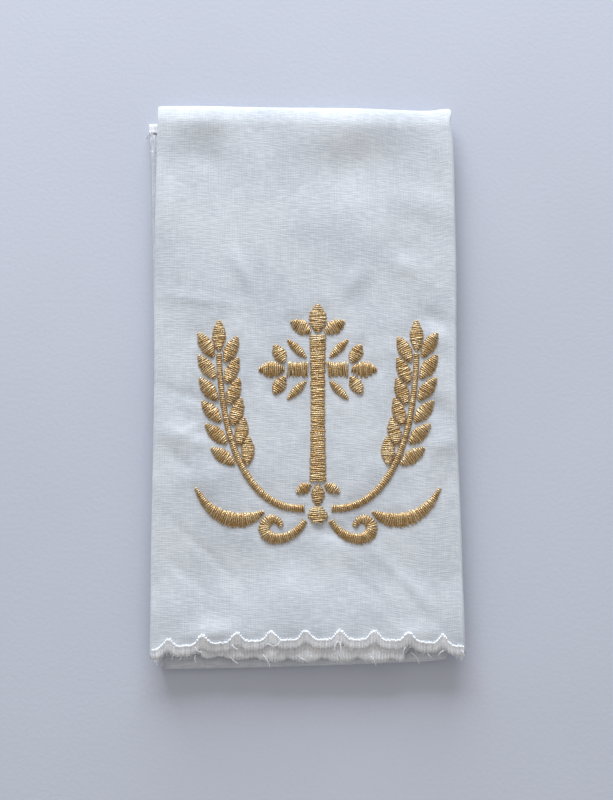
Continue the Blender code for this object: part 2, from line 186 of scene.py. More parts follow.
# Embroidery, drawn round the crossing of the panel's middle lines
MOTIF_X, MOTIF_Y = 4.2, -8.0
STITCH_RISE, THINNEST_RISE = 0.8, 0.45  # height of a column's stitches, and the share of it at no width
FULL_WIDTH = 1.8  # from this width on, a column has its full height
PETAL = ((0, 0.16), (0.12, 0.52), (0.38, 1), (0.66, 0.9), (0.9, 0.4), (1, 0.12))  # shares: length, width
SIDES = (("right", 1), ("left", -1))

SHAFT_WIDTH, WAIST = 4.4, 0.16  # of the cross's bars, and the share by which they narrow in the middle
CROSSING_Y = 11.0
SHAFT_FOOT, SHAFT_HEAD = -20.0, 20.6
ARM_IN, ARM_OUT = 2.6, 8.4
BUD_GAP, BUD_LENGTH, BUD_WIDTH = 0.7, 8.0, 5.0
BUD_SIDE_ANGLE, BUD_SPREAD = 60, 1.9  # turn of the side buds, and how far from the middle they start
SIDE_BUD = 0.8  # their size, as a share of the middle one's
RAY_FROM, RAY_LENGTH, RAY_WIDTH = 4.6, 7.2, 2.2
BAR_STEPS = {"shaft": 10, "arm": 3}

# Middle lines of the right half, as cubic curves
STALK = [((3.6, -27.2), (16, -28.2), (26, -15), (27.2, 15.5))]
LEAF = [((14.6, -28.0), (20, -32.4), (28.5, -31.4), (33.2, -21.6))]
CURL = [
    ((3.4, -30.4), (6.4, -36.2), (14.2, -37.2), (14.6, -32.6)),
    ((14.6, -32.6), (14.6, -29.4), (10.2, -29.2), (10.0, -32.2)),
]
STALK_WIDTH, LEAF_WIDTH, CURL_WIDTH = 1.9, 3.9, 3.0
STALK_STEPS, STEM_STEPS, LEAF_STEPS, CURL_STEPS, KNOT_STEPS = 16, 200, 7, 8, 6
STALK_TAPER = 0.3  # share by which a stalk narrows to its tip
POINT = 0.3  # half width of a leaf's ends
LEAF_POWER, CURL_POWER = 0.8, 0.9
GRAIN_LENGTH, GRAIN_WIDTH, GRAIN_TURN = 8.0, 3.7, 29
GRAIN_PAIRS, GRAIN_PITCH = 6, 6.0
GRAIN_STAGGER = 1.6  # how far down each inner grain starts from its outer one
GRAIN_CLEAR = 1.0  # from the stalk's tip to the first grain
BESIDE_STALK = 0.55  # from the stalk's edge to a grain
TIP_GRAIN = 1.1  # length of the tip's grain, as a share of the others'
KNOT_Y, KNOT_LENGTH, KNOT_WIDTH, KNOT_END = -29.0, 4.6, 5.4, 1.0

# Threads
THREAD_SIDES, THREAD_RINGS = 6, 10
GOLD_RADIUS, WHITE_RADIUS = 0.41, 0.49  # of a thread, as a share of the pitch
PADDING_SHARE = 0.5  # height of the padding under the stitches, as a share of theirs
GOLD_PAD_EVERY, WHITE_PAD_EVERY = 3, 2  # stitches from one loop of the padding to the next
# Tone of the padding that shows between the stitches, darker than theirs: painted shade in the gaps
GOLD_PAD_SHADE, WHITE_PAD_SHADE = 0.0, 0.35
CROWN_POWER, STITCH_SINK = 0.85, 0.12  # how full a gold stitch's arch is, and how deep its ends go in
RISE_JITTER = (0.78, 1.1)  # least and most of a stitch's height
SLANT_JITTER, WIDTH_JITTER = (-0.17, 0.17), (0.97, 1.07)
GOLD_RADIUS_JITTER, WHITE_RADIUS_JITTER = (0.86, 1.08), (0.88, 1.06)
LEAN_JITTER, START_JITTER, END_JITTER = (-0.1, 0.1), (-0.06, 0.06), (-0.05, 0.06)

# Padding under a gold column: share of its half width, share of the padding's height
GOLD_PADDING = ((-0.94, -0.2), (-0.8, 0.45), (-0.35, 0.9), (0.35, 0.9), (0.8, 0.45), (0.94, -0.2))
# An edging stitch, from its inner end to where it turns under: share of the band's width, share of its rise
EDGING_PROFILE = ((-0.03, -0.15), (0.01, 0.75), (0.04, 1.0), (0.1, 0.9))
EDGING_PROFILE += ((0.18, 0.76), (0.45, 0.8), (0.75, 0.76), (0.97, 0.5))
UNDER_TURN = ((1.03, -0.2), (0.93, -0.52))  # share of the width, mm above the ply's face
EDGING_PADDING = ((0.03, -0.1), (0.06, 0.7), (0.13, 0.7), (0.22, 0.5), (0.9, 0.4), (0.92, -0.1))

# Loose thread ends: x and y where each leaves the edging, and of its tip, bow to the side, height of the tip
LOOSE_ENDS = [
    (-19.6, -74.0, -17.1, -76.6, 0.3, 5.0),
    (-10.6, -74.2, -8.6, -77.6, -0.3, 5.8),
    (-1.6, -74.2, 1.9, -75.9, 0.4, 5.2),
    (9.4, -70.6, 8.6, -74.6, 0.5, 6.9),
    (9.9, -70.8, 9.8, -74.9, -0.4, 6.8),
    (9.0, -74.6, 10.4, -76.3, 0.2, 4.9),
    (18.2, -74.6, 19.6, -77.2, -0.2, 5.9),
    (27.6, -72.0, 27.0, -74.4, 0.3, 5.8),
    (28.9, -73.6, 31.2, -76.6, -0.4, 4.6),
    (33.3, -73.6, 34.4, -75.0, 0.2, 5.4),
    (37.6, -73.2, 36.2, -74.6, 0.3, 5.6),
    (42.2, -73.2, 43.4, -75.0, -0.2, 5.9),
    (-39.5, -73.3, -38.4, -77.2, 0.3, 5.6),
    (-39.0, -73.4, -38.6, -76.4, -0.3, 5.6),
    (-18.6, -71.6, -17.0, -72.8, 0.3, 6.8),
    (-9.3, -71.4, -7.4, -72.6, -0.3, 6.9),
    (-28.5, -74.3, -28.3, -76.4, 0.2, 5.2),
    (-28.4, -72.2, -26.4, -73.6, 0.5, 6.9),
    (-5.8, -70.2, -7.6, -72.0, -0.5, 7.0),
    (-42.7, 70.6, -42.9, 67.0, 0.25, 1.6),
    (-42.0, 70.8, -41.9, 66.4, -0.2, 1.6),
    (-43.2, 66.2, -41.2, 66.0, 0.15, 1.6),
    (-43.1, 71.6, -44.2, 70.2, 0.3, 0.9),
    (-43.3, 71.9, -41.9, 70.3, 0.2, 1.7),
    (-42.2, 72.2, -43.0, 69.9, -0.2, 1.8),
    (-42.9, 70.9, -41.8, 69.2, -0.3, 1.7),
]
LOOSE_THICKNESS, LOOSE_JITTER = 0.26, (0.8, 1.1)
LOOSE_RISE, LOOSE_ARCH = 0.5, 0.35  # how much higher a thread leaves the edging, and how it arches
FUZZ_COUNT, FUZZ_THICKNESS = 170, 0.07
# Ranges: share of the width, mm inside the outer line, mm up, heading and tilt, length, bend, tone
FUZZ_U, FUZZ_IN, FUZZ_UP = (0.005, 0.995), (-0.05, 0.5), (0.1, 0.5)
FUZZ_HEADING, FUZZ_TILT = (-2.6, -0.5), (-0.5, 0.35)
FUZZ_LENGTH, FUZZ_BEND, FUZZ_TINT = (0.5, 1.5), (-0.3, 0.3), (0.5, 1.0)

# Stage, in metres
AIM = Vector((0.0011, -0.00515, 0.003))  # what the camera and the lamps point at
FLOOR_SIZE, FLOOR_DARK, FLOOR_RELIEF = 3.0, 0.94, 0.00004
SENSOR_WIDTH, CLIP_START = 36, 0.01
SKY_COLOR = (1.0, 0.965, 0.935, 1.0)
Lamp = namedtuple("Lamp", "name power color size place")  # power: the setting that holds it
LAMPS = (
    Lamp("window", "key_power", (0.88, 0.94, 1.0), (0.875, 0.6), (-0.1, 1.0, 0.34)),
    Lamp("softbox", "top_power", (0.93, 0.96, 1.0), (0.6, 0.45), (-0.04, 0.45, 0.6)),
)


def smooth(t):
    t = min(max(t, 0.0), 1.0)
    return t * t * (3 - 2 * t)


def between(a, b, t):
    return a + (b - a) * t


def through(left, middle, right, u):
    """The parabola with these values at u = 0, a half and 1."""
    return left * (1 - u) * (1 - 2 * u) + 4 * middle * u * (1 - u) + right * u * (2 * u - 1)


def lobe(u, phase=0.0):
    """0 at a scallop's cusps and 1 at its middle."""
    x = between(FREE_LEFT, FREE_RIGHT, u)
    t = (x - LAST_CUSP) / (PITCH if x < LAST_CUSP else LAST_PITCH) + phase
    return 1 - math.cos(math.pi * t) ** SCALLOP_POWER


def cusp_line(u):
    """y of the free end's inner cusps, a long bow."""
    side = END_CREST if u < END_CREST else 1 - END_CREST
    drop = END_DROP_LEFT if u < END_CREST else END_DROP_RIGHT
    return END_CUSPS - drop * (abs(u - END_CREST) / side) ** END_POWER


def band(end, u, side):
    """y of the inner or outer line of the edging on the free or the far end."""
    out = INNER_DEPTH * lobe(u) if side == "inner" else BAND_AT_CUSP + OUTER_DEPTH * lobe(u)
    return cusp_line(u) - out if end == "free" else FAR_CUSPS + out


def under_reach(u):
    """0 where the second ply is hidden under the top one, and 1 where it sticks out in full."""
    return smooth((u - UNDER_FROM) / UNDER_FADE_IN) * smooth((UNDER_TO - u) / UNDER_FADE_OUT)


def under_line(u):
    """y of the second ply's own scalloped end, half a scallop out of step with the top one."""
    shown = under_reach(u) * between(UNDER_SHORT, 1, smooth((u - UNDER_FROM) / UNDER_GROWTH))
    return cusp_line(u) - BAND_AT_CUSP - shown * (UNDER_REACH + UNDER_DEPTH * lobe(u, 0.5))


def fold_y(name, u):
    line = LINES[name]
    flare = CORNER_FLARE * math.exp(-(((1 - u) / FLARE_WIDTH) ** 2)) if name == "top_fold" else 0.0
    return through(line.left_y, line.middle_y, line.right_y, u) + flare


def fold_x(name, u):
    return between(LINES[name].left_x, LINES[name].right_x, u)


def bow(along):
    along = min(max(along, 0.0), 1.0)
    for (start, left, right), (end, next_left, next_right) in zip(BOWS, BOWS[1:]):
        if along <= end:
            t = smooth((along - start) / (end - start))
            return between(left, next_left, t), between(right, next_right, t)
    return 0.0, 0.0


def layer_x(layer, u, y):
    """x at u, across a layer, and at y, along it."""
    if layer == "bottom":
        t = (y - fold_y("front_fold", u)) / (FAR_CUSPS - fold_y("front_fold", u))
        return between(fold_x("front_fold", u), between(FAR_LEFT, FAR_RIGHT, u), t)
    if layer == "middle":
        t = (y - fold_y("front_fold", u)) / (fold_y("top_fold", u) - fold_y("front_fold", u))
        return between(fold_x("front_fold", u), fold_x("top_fold", u), t)
    t = (fold_y("top_fold", u) - y) / (fold_y("top_fold", u) - cusp_line(u))
    left, right = bow(t)
    straight = between(fold_x("top_fold", u), between(FREE_LEFT, FREE_RIGHT, u), t)
    return straight - between(left, 0, u) + between(0, right, u)


def raised(rows, x, y):
    """The summed height of soft ridges and troughs at a place."""
    total = 0.0
    for middle_x, middle_y, wide, long, degrees, height in rows:
        turn = math.radians(degrees)
        dx, dy = x - middle_x, y - middle_y
        across = (dx * math.cos(turn) + dy * math.sin(turn)) / wide
        along = (dy * math.cos(turn) - dx * math.sin(turn)) / long
        total += height * math.exp(-across * across - along * along)
    return total


Heights = namedtuple("Heights", "bottom_low bottom_top middle_low middle_top top_low top_top")


def heights(x, y, u):
    """The z of every layer's two faces."""
    lift = raised(RIDGES, x, y)
    far = smooth((y - FAR_CUSPS + FAR_SWELL) / FAR_SWELL)
    end = smooth((cusp_line(u) + LIP_DEPTH + SWELL - y) / SWELL)
    faces = [0.0, LAYER]
    faces += [faces[-1] + GAP + FAR_ROOM * far + LIFT_LOW * lift]
    faces += [faces[-1] + LAYER]
    faces += [faces[-1] + GAP + LIFT_HIGH * lift]
    faces += [faces[-1] + between(LAYER, 2 * LIP + SLOT, end) + LIFT_TOP * lift]
    return Heights(*faces)


def bezier(controls, steps):
    """Points along one or more joined cubic curves. Each row holds four points."""
    points = []
    for a, b, c, d in controls:
        a, b, c, d = (Vector(p) for p in (a, b, c, d))
        for k in range(steps + 1):
            t = k / steps
            if points and k == 0:
                continue
            s = 1 - t
            points.append(a * s**3 + b * (3 * s * s * t) + c * (3 * s * t * t) + d * t**3)
    return points


def place_before_end(route, distance):
    """The point that lies this far along route before its end, and the way the route runs there."""
    for a, b in zip(reversed(route[:-1]), reversed(route[1:])):
        step = (b - a).length
        if distance <= step:
            return b + (a - b) * (distance / step), (b - a).normalized()
        distance -= step
    raise ValueError("the route is shorter than that")


def tapered(steps, ends, middle, power=1.0):
    """Half widths that swell from ends to middle and back. A power under 1 moves the widest place forward."""
    shares = [(k / steps) ** power for k in range(steps + 1)]
    return [ends + (middle - ends) * math.sin(math.pi * t) for t in shares]


Satin = namedtuple("Satin", "node route halves")  # a satin column: its CAD node, middle line and half widths


def bar(node, start, end, steps):
    """A straight column with a slight waist."""
    shares = [k / steps for k in range(steps + 1)]
    halves = [SHAFT_WIDTH / 2 * (1 - WAIST * math.sin(math.pi * t)) for t in shares]
    return Satin(node, [Vector(start).lerp(Vector(end), t) for t in shares], halves)


def petal(node, base, angle, length, width):
    """A pointed, filled petal or grain that starts at base and points to angle, in degrees."""
    a = math.radians(angle)
    way = Vector((math.cos(a), math.sin(a)))
    route = [Vector(base) + way * (length * along) for along, _ in PETAL]
    return Satin(node, route, [width / 2 * swell for _, swell in PETAL])


def cross_columns():
    """The cross: its shaft and arms, three buds on each end, and four rays between the arms."""
    columns = [bar("cross_shaft", (0, SHAFT_FOOT), (0, SHAFT_HEAD), BAR_STEPS["shaft"])]
    for side, way in SIDES:
        start, end = (way * ARM_IN, CROSSING_Y), (way * ARM_OUT, CROSSING_Y)
        columns.append(bar(f"cross_arm_{side}", start, end, BAR_STEPS["arm"]))
    ends = (
        ("head", (0, SHAFT_HEAD), 90, 1.0),
        ("right", (ARM_OUT, CROSSING_Y), 0, 0.9),
        ("left", (-ARM_OUT, CROSSING_Y), 180, 0.9),
        ("foot", (0, SHAFT_FOOT), 270, 0.72),
    )
    for end, place, heading, scale in ends:
        a = math.radians(heading)
        out, across = Vector((math.cos(a), math.sin(a))), Vector((-math.sin(a), math.cos(a)))
        base = Vector(place) + out * BUD_GAP
        length, width = BUD_LENGTH * scale, BUD_WIDTH * scale
        columns.append(petal(f"bud_{end}_middle", base, heading, length, width))
        for turn, way in (("a", 1), ("b", -1)):
            start = base + across * (way * BUD_SPREAD)
            angle = heading + way * BUD_SIDE_ANGLE
            columns.append(petal(f"bud_{end}_{turn}", start, angle, length * SIDE_BUD, width * SIDE_BUD))
    for k in range(4):
        angle = 45 + 90 * k
        a = math.radians(angle)
        start = (RAY_FROM * math.cos(a), CROSSING_Y + RAY_FROM * math.sin(a))
        columns.append(petal(f"ray_{k + 1}", start, angle, RAY_LENGTH, RAY_WIDTH))
    return columns


def mirrored(rows, way, steps):
    return bezier([[(way * x, y) for x, y in row] for row in rows], steps)


def ear_columns(side, way):
    """An ear of wheat: its stalk, the grains in pairs up the stalk, and the one at its tip."""
    halves = [STALK_WIDTH / 2 * (1 - STALK_TAPER * k / STALK_STEPS) for k in range(STALK_STEPS + 1)]
    columns = [Satin(f"stalk_{side}", mirrored(STALK, way, STALK_STEPS), halves)]
    stem = mirrored(STALK, way, STEM_STEPS)
    for k in range(GRAIN_PAIRS):
        for turn, name in ((way, "inner"), (-way, "outer")):
            back = GRAIN_PITCH * k + (GRAIN_STAGGER if name == "inner" else 0) + GRAIN_CLEAR
            here, ahead = place_before_end(stem, back)
            out = Vector((-ahead.y, ahead.x))
            start = here + out * (turn * (STALK_WIDTH / 2 + BESIDE_STALK))
            angle = math.degrees(math.atan2(ahead.y, ahead.x)) + turn * GRAIN_TURN
            columns.append(petal(f"grain_{side}_{name}_{k + 1}", start, angle, GRAIN_LENGTH, GRAIN_WIDTH))
    tip = stem[-1] + Vector((0, BESIDE_STALK))
    columns.append(petal(f"grain_{side}_tip", tip, 90, GRAIN_LENGTH * TIP_GRAIN, GRAIN_WIDTH))
    return columns


def spray_columns():
    """The leaves and curls at the foot, and the knot that ties the ears."""
    columns = []
    for side, way in SIDES:
        halves = tapered(LEAF_STEPS, POINT, LEAF_WIDTH / 2, LEAF_POWER)
        columns.append(Satin(f"leaf_{side}", mirrored(LEAF, way, LEAF_STEPS), halves))
        halves = tapered(2 * CURL_STEPS, 2 * POINT, CURL_WIDTH / 2, CURL_POWER)
        columns.append(Satin(f"curl_{side}", mirrored(CURL, way, CURL_STEPS), halves))
    shares = [k / KNOT_STEPS - 0.5 for k in range(KNOT_STEPS + 1)]
    route = [Vector((0, KNOT_Y + KNOT_LENGTH * share)) for share in shares]
    columns.append(Satin("knot", route, tapered(KNOT_STEPS, KNOT_END, KNOT_WIDTH / 2)))
    return columns


def all_columns():
    ears = [column for side, way in SIDES for column in ear_columns(side, way)]
    return cross_columns() + ears + spray_columns()


class Signal:
    """A number, colour or vector that a node gives. Python's arithmetic on it adds Math nodes."""

    def __init__(self, finish, socket):
        self.finish, self.socket = finish, socket

    def math(self, operation, *values):
        return self.finish.node("ShaderNodeMath", {"operation": operation}, dict(enumerate(values)))

    def __add__(self, other):
        return self.math("ADD", self, other)

    def __radd__(self, other):
        return self.math("ADD", other, self)

    def __sub__(self, other):
        return self.math("SUBTRACT", self, other)

    def __rsub__(self, other):
        return self.math("SUBTRACT", other, self)

    def __mul__(self, other):
        return self.math("MULTIPLY", self, other)

    def __rmul__(self, other):
        return self.math("MULTIPLY", other, self)

    def __truediv__(self, other):
        return self.math("DIVIDE", self, other)

    def __abs__(self):
        return self.math("ABSOLUTE", self)

    def sine(self):
        return self.math("SINE", self)

    def stepped(self, low, high):
        """0 below low and 1 above high, with a soft passage between them."""
        settings = {"interpolation_type": "SMOOTHSTEP"}
        inputs = {"Value": self, "From Min": low, "From Max": high}
        return self.finish.node("ShaderNodeMapRange", settings, inputs)


class Finish:
    """One material. Its constants sit on the shader's own sockets, and what varies is linked to them."""

    def __init__(self, name, **constants):
        self.material = bpy.data.materials.new(name)
        self.material.use_nodes = True
        self.tree = self.material.node_tree
        self.shader = self.tree.nodes["Principled BSDF"]
        for key, value in constants.items():
            self.shader.inputs[key.replace("_", " ").title().replace("Ior", "IOR")].default_value = value

    def put(self, socket, value):
        if isinstance(value, Signal):
            self.tree.links.new(value.socket, socket)
        else:
            socket.default_value = value

    def node(self, kind, settings=None, inputs=None, output=0):
        made = self.tree.nodes.new(kind)
        for key, value in (settings or {}).items():
            setattr(made, key, value)
        for key, value in (inputs or {}).items():
            self.put(made.inputs[key], value)
        return Signal(self, made.outputs[output])

    def axes(self, vector):
        split = self.tree.nodes.new("ShaderNodeSeparateXYZ")
        self.put(split.inputs[0], vector)
        return [Signal(self, output) for output in split.outputs]

    def vector(self, x, y, z=0.0):
        return self.node("ShaderNodeCombineXYZ", None, {0: x, 1: y, 2: z})

    def noise(self, vector, scale=1.0, detail=2.0, roughness=0.5):
        inputs = {"Vector": vector, "Scale": scale, "Detail": detail, "Roughness": roughness}
        return self.node("ShaderNodeTexNoise", None, inputs)

    def mix(self, factor, low, high):
        """A colour between low and high."""
        return self.node("ShaderNodeMix", {"data_type": "RGBA"}, {0: factor, 6: low, 7: high}, 2)

    def relief(self, height, depth):
        """Bump: height runs from 0 to 1, and depth is what 1 stands for, in metres."""
        bump = self.node("ShaderNodeBump", None, {"Height": height, "Distance": depth, "Strength": 1.0})
        self.put(self.shader.inputs["Normal"], bump)


def rgba(color):
    return (*color, 1.0)


def linen_finish(settings):
    """Plain-woven linen: fine threads, slubs that show most along the weft, and a soft change of tone.
    The colour is darker between the threads, which is painted shade; the slubs, fuzz and patches are the
    linen's own tone.
    """
    finish = Finish("linen", roughness=0.82, sheen_weight=0.25, sheen_roughness=0.4)
    flat = finish.node("ShaderNodeUVMap", {"uv_map": "flat"})
    across, along, _ = finish.axes(flat)
    pitch = settings.thread / MM / 10
    sway = finish.noise(flat, 1.6, 2.0) - 0.5
    warp = (across + sway * (pitch * 0.9)) * (math.pi / pitch)
    weft = (along + sway * (pitch * 1.3)) * (math.pi / (pitch * 1.1))
    weft_slubs = finish.noise(finish.vector(across * 3.2, along * 23.0), 1.0, 3.0, 0.6)
    warp_slubs = finish.noise(finish.vector(across * 24.0, along * 1.6, 7.0), 1.0, 2.0, 0.6)
    fuzz = finish.noise(flat, 22.0, 2.0, 0.6)
    weave = abs(warp.sine()) * 0.45 + abs(weft.sine()) * 0.55
    slubs = weft_slubs.stepped(0.36, 0.68) * 0.7 + warp_slubs.stepped(0.4, 0.72) * 0.3
    height = weave * 0.36 + slubs * 0.42 + fuzz * 0.22
    patches = finish.noise(flat, 0.55, 2.0, 0.5).stepped(0.3, 0.7)
    # Painted shade: the weave term makes the colour darker in the grooves between the threads
    tone = weave * 0.25 + slubs * 0.4 + fuzz * 0.15 + patches * 0.2
    color = finish.mix(tone.stepped(0.1, 0.85), rgba(settings.shade_color), rgba(settings.color))
    finish.put(finish.shader.inputs["Base Color"], color)
    finish.relief(height, settings.weave_depth)
    return finish.material


def thread_finish(name, low, high, twist, depth, sparkle, **constants):
    """Twisted thread: each stitch has a tone of its own, and the twist shows as fine slanting ribs.
    Its colour also holds painted light: bright specks of painted glint, and painted shade along the ribs.
    """
    finish = Finish(name, **constants)
    tint = finish.node("ShaderNodeAttribute", {"attribute_name": "tint"}, None, 2)
    around, along, _ = finish.axes(finish.node("ShaderNodeUVMap", {"uv_map": "thread"}))
    ribs = ((along / twist + around) * math.tau).sine() * 0.5 + 0.5
    place = finish.node("ShaderNodeTexCoord", None, None, 3)
    facets_and_painted_glint = finish.noise(place, 2100.0, 1.0, 0.5).stepped(0.33, 0.67)
    patches = finish.noise(place, 420.0, 2.0, 0.5)
    # Painted glints from the glint noise, and painted shade along the ribs; tint and patches are the thread's
    # own tone
    tone = tint * (0.9 - sparkle) + ribs * 0.1 + facets_and_painted_glint * sparkle + patches * 0.35 - 0.12
    color = finish.mix(tone.stepped(0.25, 0.85), rgba(low), rgba(high))
    finish.put(finish.shader.inputs["Base Color"], color)
    finish.relief(ribs * 0.4 + facets_and_painted_glint * 0.6, depth)
    return finish, facets_and_painted_glint


def floor_finish(settings):
    """Pale matt board with a faint mottle."""
    finish = Finish("pale_board", roughness=0.7)
    place = finish.node("ShaderNodeTexCoord", None, None, 3)
    mottle = finish.noise(place, 9.0, 3.0, 0.55).stepped(0.3, 0.7)
    grain = finish.noise(place, 900.0, 2.0, 0.5)
    light, dark = rgba(settings.floor_color), rgba([FLOOR_DARK * c for c in settings.floor_color])
    finish.put(finish.shader.inputs["Base Color"], finish.mix(mottle * 0.7 + grain * 0.3, dark, light))
    finish.relief(grain, FLOOR_RELIEF)
    return finish.material


def make_object(name, points, faces, material):
    """A mesh from points in millimetres."""
    mesh = bpy.data.meshes.new(name)
    mesh.from_pydata([tuple(p) for p in np.asarray(points, float) * MM], [], faces)
    mesh.materials.append(material)
    mesh.shade_smooth()
    made = bpy.data.objects.new(name, mesh)
    bpy.context.scene.collection.objects.link(made)
    return made


def apply_modifiers(piece):
    bpy.ops.object.select_all(action="DESELECT")
    piece.select_set(True)
    bpy.context.view_layer.objects.active = piece
    for modifier in list(piece.modifiers):
        bpy.ops.object.modifier_apply(modifier=modifier.name)
    piece.select_set(False)


class Drawn:
    """How the stitches shape the linen: it dips beside them and puckers round them."""

    def __init__(self, columns):
        places = []
        for column in columns:
            stretches = zip(column.route, column.route[1:], column.halves, column.halves[1:])
            for a, b, wide, next_wide in stretches:
                steps = max(1, math.ceil((b - a).length))
                places += [(a.lerp(b, k / steps), between(wide, next_wide, k / steps)) for k in range(steps)]
        self.halves = [half for _, half in places]
        self.tree = KDTree(len(places))
        for k, (place, _) in enumerate(places):
            self.tree.insert((MOTIF_X + place.x, MOTIF_Y + place.y, 0), k)
        self.tree.balance()

    def beside(self, x, y):
        """The distance from the nearest column's edge."""
        _, k, distance = self.tree.find((x, y, 0))
        return max(0.0, distance - self.halves[k])


def crease(x, y, u, drawn, share):
    """Height of the creases and the fine unevenness at a place. They fade towards the top fold."""
    away = drawn.beside(x, y)
    pucker = math.exp(-((away / PUCKER_REACH) ** 2))
    height = raised(CREASES, x, y)
    height += BROAD_HEIGHT * noise.noise(Vector((x / BROAD_WAVE, y / BROAD_WAVE, BROAD_LAYER)))
    fine = noise.noise(Vector((x / FINE_WAVE, y / FINE_WAVE, FINE_LAYER)))
    height += FINE_HEIGHT * (1 + PUCKER_GAIN * pucker) * fine
    height -= DIMPLE_DEPTH * math.exp(-((away / DIMPLE_REACH) ** 2))
    fade = smooth((fold_y("top_fold", u) - CREASE_CLEAR - y) / CREASE_FADE)
    return height * share * fade


# A line of the sheet: share of the width, place between a layer's low and high ply, mm outwards
Column = namedtuple("Column", "u level out")


def side_fold(start, end, u, room, count):
    """Columns round a pressed side fold, between the plies at two levels."""
    reach = abs(end - start) * room / 2 * (1 if u == 1 else -1)
    turns = [math.pi * k / count for k in range(1, count)]
    return [Column(u, between(start, end, (1 - math.cos(a)) / 2), reach * math.sin(a)) for a in turns]


class Linen:
    """The folded sheet, as points along each of its lines."""

    def __init__(self, ply, share):
        self.ply, self.share = ply, share
        self.room = LAYER - ply
        self.drawn = Drawn(all_columns())
        beside = [(k / EDGE_LINES) ** EDGE_POWER * EDGE_SPAN / FACE_LINES for k in range(EDGE_LINES)]
        margin = EDGE_SPAN / FACE_LINES
        whole = beside + list(np.linspace(margin, 1 - margin, FACE_LINES)) + [1 - u for u in beside[::-1]]
        self.columns = [Column(u, 0.5, 0.0) for u in np.linspace(1 - LONG_EDGE_INSET, 0, HIDDEN_THIRD_LINES)]
        self.columns += side_fold(0.5, 1.0, 0, self.room, NARROW_FOLD_LINES)
        self.columns += [Column(u, 1.0, 0.0) for u in whole]
        self.columns += side_fold(1.0, 0.0, 1, self.room, WIDE_FOLD_LINES)
        self.columns += [Column(u, 0.0, 0.0) for u in np.linspace(1, LONG_EDGE_INSET, UNDER_THIRD_LINES)]

    def x(self, layer, column, y):
        inset = between(self.room / 4, -self.room / 2, column.u)
        return layer_x(layer, column.u, y) + inset + column.out

    def z(self, layer, column, x, y):
        """The middle of the ply at this column."""
        faces = heights(x, y, column.u)
        low = getattr(faces, f"{layer}_low") + self.ply / 2
        high = getattr(faces, f"{layer}_top") - self.ply / 2
        level = column.level
        if layer == "middle":
            level = 1 - level
        if layer == "top":
            hangs = smooth((cusp_line(column.u) - y) / DROOP_LENGTH)
            high -= END_DROOP * hangs * max(0, 2 * level - 1)
        shares = LAYER_SHARE[layer]
        share = self.share * between(shares[0], shares[1], level)
        return between(low, high, level) + crease(x, y, column.u, self.drawn, share)

    def ends(self, column):
        """y of the sheet's far and free end at this column. The hidden plies end a little short."""
        hidden = 1 - column.level
        inside = smooth((1 - column.u) / SHORT_FADE)
        short = FAR_SHORT * hidden * inside * smooth(column.u / SHORT_FADE)
        far = band("far", column.u, "outer") - TRIM - short
        top = band("free", column.u, "outer") + TRIM
        if column.level >= 0.5:
            return far, between(under_line(column.u), top, 2 * column.level - 1)
        return far, top + FREE_SHORT * inside * hidden

    def layer(self, layer, column, start, end, shares):
        points = []
        for t in shares:
            y = between(start, end, t)
            x = self.x(layer, column, y)
            points.append((x, y, self.z(layer, column, x, y)))
        return points

    def nose(self, column, middle, depth, lower, upper):
        """Points round a fold, between two layers. depth is negative where it faces the front."""
        below_x, above_x = self.x(lower, column, middle), self.x(upper, column, middle)
        below = self.z(lower, column, below_x, middle)
        above = self.z(upper, column, above_x, middle)
        points = []
        for k in range(1, NOSE_ROWS):
            a = math.pi * (k / NOSE_ROWS - 0.5)
            power = WEDGE if upper == "top" and a > 0 else 1.0
            y = middle + depth * math.cos(a) ** power
            rise = (1 + math.copysign(abs(math.sin(a)) ** power, a)) / 2
            x = between(self.x(lower, column, y), self.x(upper, column, y), rise)
            points.append((x, y, between(below, above, rise)))
        return points

    def cornered(self, column):
        """The share of a fold's depth that its rounded corners leave at this column."""
        beside = FREE_WIDTH * min(column.u, 1 - column.u) + self.room / 2 - abs(column.out)
        t = max(0.0, 1 - beside / CORNER)
        return 1 - CORNER * (1 - math.sqrt(1 - t * t)) / NOSE

    def line(self, column):
        """The sheet along one of its lines, from the far end to the free end."""
        u, half = column.u, self.ply / 2
        front_x, front_y = fold_x("front_fold", u), fold_y("front_fold", u)
        top_x, top_y = fold_x("top_fold", u), fold_y("top_fold", u)
        front, top = heights(front_x, front_y + NOSE, u), heights(top_x, top_y - NOSE, u)
        front_slit = (front.middle_low - front.bottom_top) / 2
        top_slit = (top.top_low - top.middle_top) / 2
        front_turn = between(front_y + NOSE, front_y + WALL + front_slit, column.level)
        front_depth = between(NOSE - half, front_slit + half, column.level) * self.cornered(column)
        growth = column.level**SLOPE_GROWTH
        top_turn = between(top_y - WALL - top_slit, top_y - TOP_SLOPE, growth)
        rounding = between(1, self.cornered(column), TOP_CORNER)
        top_depth = between(top_slit + half, TOP_SLOPE - half, growth) * rounding
        far, free = self.ends(column)
        plain, face = np.linspace(0, 1, LAYER_ROWS), np.linspace(0, 1, FACE_ROWS)
        points = self.layer("bottom", column, far, front_turn, plain)
        points += self.nose(column, front_turn, -front_depth, "bottom", "middle")
        points += self.layer("middle", column, front_turn, top_turn, plain)
        points += self.nose(column, top_turn, top_depth, "middle", "top")
        points += self.layer("top", column, top_turn, free, face)
        return points

    def build(self, name, material):
        lines = np.array([self.line(column) for column in self.columns])
        count, rows = lines.shape[:2]
        faces = []
        for i in range(count - 1):
            for j in range(rows - 1):
                a, b = i * rows + j, (i + 1) * rows + j
                faces.append((a, b, b + 1, a + 1))
        made = make_object(name, lines.reshape(-1, 3), faces, material)
        self.lay_flat(made, lines)
        wall = made.modifiers.new("ply", "SOLIDIFY")
        wall.thickness = self.ply * MM
        wall.offset = 0
        apply_modifiers(made)
        return made

